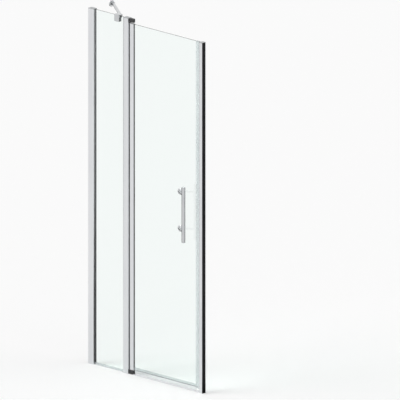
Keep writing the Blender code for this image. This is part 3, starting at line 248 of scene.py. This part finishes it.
def chrome():
    """Chrome plate on a polished casting."""
    return metal("chrome_plate", pale=(0.60, 0.61, 0.62), dark=(0.55, 0.56, 0.575),
                 smooth=0.03, rough=0.10, streaks=(220.0, 220.0, 220.0),
                 clouds=(25.0, 25.0, 25.0), relief=0.000001)


def turned_stainless():
    """Stainless steel turned on an automatic lathe."""
    return metal("turned_stainless", pale=(0.64, 0.635, 0.62), dark=(0.50, 0.50, 0.49),
                 smooth=0.20, rough=0.38, streaks=(900.0, 900.0, 5200.0),
                 clouds=(120.0, 120.0, 120.0), relief=0.000005, arris=FINE_ARRIS_RADIUS)


# Plastics and rubbers

def epdm_rubber():
    return moulded("epdm_rubber", base=(0.016, 0.016, 0.017), speck=(0.034, 0.034, 0.035),
                   worn=(0.075, 0.075, 0.077), smooth=0.42, rough=0.60, grain=2600.0, relief=0.00002)


def filled_nylon():
    """Black glass-filled nylon of the pivot blocks."""
    return moulded("glass_filled_nylon", base=(0.018, 0.018, 0.020), speck=(0.042, 0.042, 0.045),
                   worn=(0.10, 0.10, 0.105), smooth=0.32, rough=0.50, grain=1800.0, relief=0.00003)


def grey_abs():
    """Satin grey plastic of the end caps."""
    return moulded("grey_abs", base=(0.40, 0.41, 0.42), speck=(0.46, 0.47, 0.48),
                   worn=(0.60, 0.61, 0.62), smooth=0.34, rough=0.48, grain=2200.0, relief=0.00002)


def white_acetal():
    """Slippery white plastic of the lift cams."""
    return moulded("white_acetal", base=(0.80, 0.80, 0.77), speck=(0.84, 0.84, 0.815),
                   worn=(0.88, 0.88, 0.86), smooth=0.26, rough=0.38, grain=1500.0,
                   relief=0.000008, coat=0.15)


def natural_nylon():
    """Unpigmented nylon of bushes and washers."""
    return moulded("natural_nylon", base=(0.76, 0.755, 0.71), speck=(0.80, 0.795, 0.755),
                   worn=(0.85, 0.845, 0.81), smooth=0.32, rough=0.46, grain=1800.0, relief=0.00001)


def ferrite_strip():
    """Rubber-bonded magnet."""
    return moulded("ferrite_strip", base=(0.062, 0.050, 0.044), speck=(0.105, 0.088, 0.078),
                   worn=(0.13, 0.11, 0.10), smooth=0.55, rough=0.72, grain=3200.0, relief=0.00003)


# Clear materials

GLASS_TINT = (0.975, 0.992, 0.985)
GLASS_DEPTH_TINT = (0.18, 0.80, 0.62)
GLASS_DENSITY = 6.0
GLASS_HAZE = 0.018
GLASS_WAVE = 0.00002
PVC_LINE = 0.00003


def safety_glass():
    """Toughened float glass: clear from the front, dark through its edges."""
    made, tree, sockets = principled("safety_glass", transmission=1.0)
    sockets["Base Color"].default_value = (*GLASS_TINT, 1.0)
    haze = noise(tree, (9.0, 9.0, 5.0), 4.0)
    connect(tree, spread(tree, haze, 0.0, GLASS_HAZE), sockets["Roughness"])
    roller_wave = noise(tree, (1.5, 1.5, 7.0), 1.0)
    connect(tree, bump(tree, roller_wave, GLASS_WAVE), sockets["Normal"])
    volume = new_node(tree, "ShaderNodeVolumeAbsorption")
    volume.inputs["Color"].default_value = (*GLASS_DEPTH_TINT, 1.0)
    volume.inputs["Density"].default_value = GLASS_DENSITY
    connect(tree, volume.outputs["Volume"], tree.nodes["Material Output"].inputs["Volume"])
    passing_light(tree, share=0.94, tint=(0.95, 0.985, 0.97))
    return made


def clear_pvc(run="z"):
    """Clear soft PVC, a little milky, with fine lines from the extruder."""
    made, tree, sockets = principled(f"clear_pvc_{run}", ior=1.52, transmission=0.9)
    milk = spread(tree, noise(tree, extruded(run, 2.5, 40.0)), 0.0, 1.0)
    connect(tree, mixed(tree, milk, (0.87, 0.90, 0.91), (0.92, 0.945, 0.95)), sockets["Base Color"])
    lines = noise(tree, extruded(run, 6.0, 2400.0))
    connect(tree, spread(tree, lines, 0.05, 0.14), sockets["Roughness"])
    connect(tree, bump(tree, lines, PVC_LINE), sockets["Normal"])
    passing_light(tree, share=0.7, tint=(0.92, 0.94, 0.95))
    return made


FINISHES = {
    "polished_aluminium": bright_anodised(),
    # painted shade: the black of this slot stands in for the shadow on the wall channel's back
    "black_anodised": black_anodised(),
    "chrome": chrome(),
    "stainless_steel": turned_stainless(),
    "black_gasket": epdm_rubber(),
    "black_moulding": filled_nylon(),
    "grey_moulding": grey_abs(),
    "acetal": white_acetal(),
    "nylon": natural_nylon(),
    "magnet_strip": ferrite_strip(),
    "clear_glass": safety_glass(),
    "clear_seal": clear_pvc(),
}
LEVEL_FINISHES = {
    **FINISHES,
    "polished_aluminium": bright_anodised("x"),
    "clear_seal": clear_pvc("x"),
}


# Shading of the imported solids

def shading_group():
    """Weld the faceted solids and smooth them up to an angle."""
    group = bpy.data.node_groups.new("smooth_by_angle", "GeometryNodeTree")
    group.interface.new_socket("Geometry", in_out="INPUT", socket_type="NodeSocketGeometry")
    group.interface.new_socket("Geometry", in_out="OUTPUT", socket_type="NodeSocketGeometry")
    start = new_node(group, "NodeGroupInput")
    end = new_node(group, "NodeGroupOutput")
    strip = new_node(group, "GeometryNodeRemoveAttribute")
    strip.inputs["Name"].default_value = "custom_normal"
    merge = new_node(group, "GeometryNodeMergeByDistance")
    merge.inputs["Distance"].default_value = WELD
    angle = new_node(group, "GeometryNodeInputMeshEdgeAngle")
    gentle = new_node(group, "FunctionNodeCompare", data_type="FLOAT", operation="LESS_THAN")
    gentle.inputs["B"].default_value = SMOOTH_ANGLE
    faces = new_node(group, "GeometryNodeSetShadeSmooth", domain="FACE")
    sharp = new_node(group, "GeometryNodeSetShadeSmooth", domain="EDGE")
    chain = (start, strip, merge, faces, sharp, end)
    for before, after in zip(chain, chain[1:]):
        connect(group, before.outputs["Geometry"], after.inputs["Geometry"])
    connect(group, angle.outputs["Unsigned Angle"], gentle.inputs["A"])
    connect(group, gentle.outputs["Result"], sharp.inputs["Shade Smooth"])
    return group


def dress(nodes):
    """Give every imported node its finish, with draw lines along the pieces that lie level."""
    group = shading_group()
    for name, solid in nodes.items():
        low, high = corners(name)
        level = high.x - low.x > high.z - low.z
        slot = solid.material_slots[0].material.name
        solid.material_slots[0].material = (LEVEL_FINISHES if level else FINISHES)[slot]
        smooth = solid.modifiers.new("Smooth by angle", "NODES")
        smooth.node_group = group


def corners(name):
    """A node's lowest and highest corners as vectors."""
    return [Vector(corner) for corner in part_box(name)]


def linked(name, data):
    """A new object in the scene."""
    made = bpy.data.objects.new(name, data)
    bpy.context.scene.collection.objects.link(made)
    return made


dress(NODES)


# Small screws

LONG_SCREW_LENGTH = 0.0095
SHORT_SCREW_LENGTH = 0.0048
SCREW_RADIUS = 0.0017
CORE_RADIUS = 0.00125
SCREW_PITCH = 0.0013
TIP_LENGTH = 0.0008
TIP_SHARE = 0.45
CREST_SHARE = 0.14
FLANK_SHARE = 0.25
ROWS_IN_PITCH = 8
HEAD_RADIUS = 0.0034
HEAD_HEIGHT = 0.0023
HEAD_RIM_SHARE = 0.25
DOME_STEPS = 5
TURN_STEPS = 24
RECESS_SPAN = 0.0038
RECESS_WIDTH = 0.0009
RECESS_DEPTH = 0.0014
RECESS_FLOOR_SHARE = 0.45
RECESS_FLOOR_WIDTH_SHARE = 0.725


def ring(height, radii):
    """Points round the axis at a height, one for each radius."""
    points = []
    for step, radius in enumerate(radii):
        angle = math.tau * step / len(radii)
        points.append((radius * math.cos(angle), radius * math.sin(angle), height))
    return points


def circle(height, radius):
    """A ring with the same radius all round."""
    return ring(height, [radius] * TURN_STEPS)


def thread_ring(depth, run):
    """A ring of a right-hand thread, whose ridge climbs a pitch in a turn and fades at its ends."""
    fade = min(1.0, depth / SCREW_PITCH, (run - depth) / SCREW_PITCH)
    radii = []
    for step in range(TURN_STEPS):
        phase = (depth / SCREW_PITCH + step / TURN_STEPS) % 1.0
        ridge = (CREST_SHARE / 2 + FLANK_SHARE - abs(phase - 0.5)) / FLANK_SHARE
        radii.append(CORE_RADIUS + (SCREW_RADIUS - CORE_RADIUS) * fade * min(1.0, max(0.0, ridge)))
    return ring(-depth, radii)


def screw_rings(length):
    """Rings of a pan-head screw that stands on its head's underside, from its dome to its tip."""
    rings = []
    for step in range(1, DOME_STEPS + 1):
        angle = math.pi / 2 * step / DOME_STEPS
        dome = (1 - HEAD_RIM_SHARE) * math.cos(angle)
        rings.append(circle(HEAD_HEIGHT * (HEAD_RIM_SHARE + dome), HEAD_RADIUS * math.sin(angle)))
    rings.append(circle(0.0, HEAD_RADIUS))
    run = length - TIP_LENGTH
    row = SCREW_PITCH / ROWS_IN_PITCH
    depths = [row * count for count in range(math.ceil(run / row))] + [run]
    rings += [thread_ring(depth, run) for depth in depths]
    return rings + [circle(-length, CORE_RADIUS * TIP_SHARE)]


def skin(rings):
    """A closed mesh through the rings, drawn to the axis at its top and bottom."""
    work = bmesh.new()
    loops = [[work.verts.new(point) for point in points] for points in rings]
    for upper, lower in zip(loops, loops[1:]):
        for step in range(TURN_STEPS):
            work.faces.new((upper[step - 1], upper[step], lower[step], lower[step - 1]))
    for loop, height in ((loops[0], HEAD_HEIGHT), (loops[-1], rings[-1][0][2])):
        middle = work.verts.new((0.0, 0.0, height))
        for step in range(TURN_STEPS):
            work.faces.new((middle, loop[step - 1], loop[step]))
    bmesh.ops.recalc_face_normals(work, faces=work.faces)
    mesh = bpy.data.meshes.new("skin")
    work.to_mesh(mesh)
    work.free()
    return mesh


def cross_cutter():
    """A tapered cross that is cut into a screw's head."""
    work = bmesh.new()
    for turn in (0.0, math.pi / 2):
        made = bmesh.ops.create_cube(work, size=1.0)["verts"]
        for vert in made:
            deep = vert.co.z < 0
            vert.co.x *= RECESS_SPAN * (RECESS_FLOOR_SHARE if deep else 1.0)
            vert.co.y *= RECESS_WIDTH * (RECESS_FLOOR_WIDTH_SHARE if deep else 1.0)
            vert.co.z = HEAD_HEIGHT + vert.co.z * 2 * RECESS_DEPTH
        bmesh.ops.rotate(work, verts=made, cent=(0, 0, 0), matrix=Matrix.Rotation(turn, 3, "Z"))
    mesh = bpy.data.meshes.new("cross")
    work.to_mesh(mesh)
    work.free()
    return mesh


def clean(mesh):
    """Join the points that meet and cut the faces into even triangles, so that none is a sliver."""
    work = bmesh.new()
    work.from_mesh(mesh)
    bmesh.ops.remove_doubles(work, verts=work.verts, dist=WELD)
    bmesh.ops.triangulate(work, faces=work.faces, quad_method="BEAUTY", ngon_method="BEAUTY")
    work.to_mesh(mesh)
    work.free()


def screw_mesh(length):
    """A threaded screw with a cross recess cut into its head."""
    blank = linked("screw_blank", skin(screw_rings(length)))
    tool = linked("screw_tool", cross_cutter())
    cut = blank.modifiers.new("Recess", "BOOLEAN")
    cut.operation = "DIFFERENCE"
    cut.solver = "EXACT"
    cut.use_self = True
    cut.object = tool
    bpy.context.view_layer.update()
    graph = bpy.context.evaluated_depsgraph_get()
    mesh = bpy.data.meshes.new_from_object(blank.evaluated_get(graph))
    bpy.data.objects.remove(blank)
    bpy.data.objects.remove(tool)
    clean(mesh)
    mesh.shade_smooth()
    mesh.set_sharp_from_angle(angle=SMOOTH_ANGLE)
    mesh.materials.clear()
    mesh.materials.append(FINISHES["stainless_steel"])
    return mesh


def screws(name, mesh, places, direction):
    """Screws of one kind on the frame, each turned to its own angle."""
    upright = Vector(direction).to_track_quat("Z", "Y").to_matrix().to_4x4()
    for index, spot in enumerate(places, 1):
        made = linked(f"{name}_{index}", mesh)
        turn = Matrix.Rotation(CHANCE.uniform(0, math.pi), 4, "Z")
        made.matrix_world = Matrix.Translation(spot) @ upright @ turn
        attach(made, "frame")


CHANCE = random.Random(7)
LONG_SCREW = screw_mesh(LONG_SCREW_LENGTH)
SHORT_SCREW = screw_mesh(SHORT_SCREW_LENGTH)
INTO_SHOWER = (0, 1, 0)
FROM_WALL = (1, 0, 0)

CLAMP_SCREW_SHARES = (0.08, 0.52, 0.92)
BLOCK_TONGUE_HEIGHT = 0.040
BLOCK_SCREW_SHARES = (0.27, 0.77)
BLOCK_SCREW_INSET = 0.00695
FLANGE_THICKNESS = 0.005
FLANGE_SCREW_OFFSET = 0.0125


def clamp_screws(name, profile, x):
    """Three screws through a profile's inner wall into its channel."""
    high = corners(profile)[1]
    places = [(x, high.y, high.z * share) for share in CLAMP_SCREW_SHARES]
    screws(name, LONG_SCREW, places, INTO_SHOWER)


def block_screws():
    """Two screws through the post into each pivot block."""
    post = corners("hinge_post")[1]
    top = corners("post_top_cap")[1].z
    low = [BLOCK_TONGUE_HEIGHT * share for share in BLOCK_SCREW_SHARES]
    heights = low + [top - height for height in low]
    places = [(post.x - BLOCK_SCREW_INSET, post.y, height) for height in heights]
    screws("block_screw", LONG_SCREW, places, INTO_SHOWER)


def flange_screws():
    """Two screws through the stay's wall flange, level with its middle."""
    low, high = corners("stay_wall_bracket")
    middle = (low + high) / 2
    places = []
    for offset in (-FLANGE_SCREW_OFFSET, FLANGE_SCREW_OFFSET):
        places.append((low.x + FLANGE_THICKNESS, middle.y + offset, middle.z))
    screws("flange_screw", SHORT_SCREW, places, FROM_WALL)


frame_screws_x = (cad_box[0][0] + corners("wall_channel")[1].x) / 2
strike_screws_x = (cad_box[1][0] + corners("strike_channel")[0].x) / 2
clamp_screws("frame_clamp_screw", "frame_profile", frame_screws_x)
clamp_screws("strike_clamp_screw", "strike_profile", strike_screws_x)
block_screws()
flange_screws()


# Studio

FLOOR_HALF = 40.0
FLOOR_HEIGHT = -0.0005
FLOOR_GLOW = 0.20
FLOOR_SHADE = (0.80, 0.80, 0.80)
CLOTH_HALF = 0.45
CLOTH_REACH = 9.0
CLOTH_HEIGHT = -0.0002
CLOTH_SHADE = (0.11, 0.11, 0.113)
LAMP_DISTANCE = 4.0
WORLD_LIGHT = 0.60
CAMERA_TURN = math.radians(45.0)
CAMERA_LIFT = math.radians(15.54)
CAMERA_DISTANCE = 6.0
CAMERA_REACH = 100.0
VIEW_WIDTH = 2.0053
VIEW_CENTRE = (0.3764, 0.0, 1.0)


def lamp(name, direction, width, strength):
    """A broad soft lamp, far off in that direction, so many degrees wide."""
    data = bpy.data.lights.new(name, "SUN")
    data.angle = math.radians(width)
    data.energy = strength
    made = linked(name, data)
    made.location = Vector(direction) * LAMP_DISTANCE
    made.rotation_euler = Vector(direction).to_track_quat("Z", "Y").to_euler()


def sheet(name, outline, height):
    """(flat stage object, the node tree of its empty material, the socket for its shader)."""
    mesh = bpy.data.meshes.new(name)
    mesh.from_pydata([(x, y, 0.0) for x, y in outline], [], [range(len(outline))])
    made = linked(name, mesh)
    made.location.z = height
    material = bpy.data.materials.new(name)
    material.use_nodes = True
    material.node_tree.nodes.clear()
    mesh.materials.append(material)
    output = new_node(material.node_tree, "ShaderNodeOutputMaterial")
    return made, material.node_tree, output.inputs["Surface"]


def emission(tree, colour):
    glow = new_node(tree, "ShaderNodeEmission")
    glow.inputs["Color"].default_value = (*colour, 1.0)
    return glow


def dark_cloth(name, first_angle, last_angle):
    """A cloth on the floor, fanned out from the door's foot, that only polished surfaces show."""
    outline = [(-CLOTH_HALF, 0.0), (CLOTH_HALF, 0.0)]
    for start, angle in ((CLOTH_HALF, first_angle), (-CLOTH_HALF, last_angle)):
        turn = math.radians(angle)
        outline.append((start + CLOTH_REACH * math.cos(turn), CLOTH_REACH * math.sin(turn)))
    cloth, tree, surface = sheet(name, outline, CLOTH_HEIGHT)
    path = new_node(tree, "ShaderNodeLightPath")
    clear = new_node(tree, "ShaderNodeBsdfTransparent")
    joined = new_node(tree, "ShaderNodeMixShader")
    connect(tree, calculate(tree, "MINIMUM", path.outputs["Glossy Depth"], 1.0), joined.inputs[0])
    connect(tree, clear.outputs["BSDF"], joined.inputs[1])
    connect(tree, emission(tree, CLOTH_SHADE).outputs["Emission"], joined.inputs[2])
    connect(tree, joined.outputs["Shader"], surface)
    for ray in ("camera", "diffuse", "volume_scatter", "shadow"):
        setattr(cloth, f"visible_{ray}", False)


def seen(tree):
    """1 where the camera sees a thing, straight on or through metal and glass."""
    path = new_node(tree, "ShaderNodeLightPath")
    first = calculate(tree, "MAXIMUM", path.outputs["Is Camera Ray"], path.outputs["Is Glossy Ray"])
    return calculate(tree, "MAXIMUM", first, path.outputs["Is Transmission Ray"])


def floor():
    """Pale floor that keeps the door's shadow and looks white elsewhere."""
    outline = [(x * FLOOR_HALF, y * FLOOR_HALF) for x, y in ((-1, -1), (1, -1), (1, 1), (-1, 1))]
    tree, surface = sheet("floor", outline, FLOOR_HEIGHT)[1:]
    matt = new_node(tree, "ShaderNodeBsdfDiffuse")
    matt.inputs["Color"].default_value = (*FLOOR_SHADE, 1.0)
    glow = emission(tree, (1.0, 1.0, 1.0))
    connect(tree, calculate(tree, "MULTIPLY", seen(tree), FLOOR_GLOW), glow.inputs["Strength"])
    both = new_node(tree, "ShaderNodeAddShader")
    connect(tree, matt.outputs["BSDF"], both.inputs[0])
    connect(tree, glow.outputs["Emission"], both.inputs[1])
    connect(tree, both.outputs["Shader"], surface)


def white_world():
    """Soft light from all round, that looks white to the camera."""
    world = bpy.data.worlds.new("studio")
    bpy.context.scene.world = world
    world.use_nodes = True
    tree = world.node_tree
    background = tree.nodes["Background"]
    background.inputs["Color"].default_value = (1.0, 1.0, 1.0, 1.0)
    strength = spread(tree, seen(tree), WORLD_LIGHT, 1.0, start=0.0, end=1.0)
    connect(tree, strength, background.inputs["Strength"])


def camera():
    """Parallel projection, as in the drawing: 45 degrees round from the front, a little above."""
    level = math.cos(CAMERA_LIFT)
    back = Vector((math.sin(CAMERA_TURN), -math.cos(CAMERA_TURN), 0.0)) * level
    back.z = math.sin(CAMERA_LIFT)
    data = bpy.data.cameras.new("camera")
    data.type = "ORTHO"
    data.ortho_scale = VIEW_WIDTH
    data.clip_end = CAMERA_REACH
    made = linked("camera", data)
    made.location = Vector(VIEW_CENTRE) + back * CAMERA_DISTANCE
    made.rotation_euler = (-back).to_track_quat("-Z", "Y").to_euler()
    bpy.context.scene.camera = made


floor()
white_world()
lamp("key", direction=(-0.45, -0.62, 0.75), width=38.0, strength=1.25)
lamp("fill", direction=(0.75, 0.25, 0.62), width=60.0, strength=0.35)
dark_cloth("cloth_right", first_angle=54.0, last_angle=82.0)
dark_cloth("cloth_left", first_angle=147.0, last_angle=212.0)
camera()
bpy.context.scene.view_settings.view_transform = "Standard"
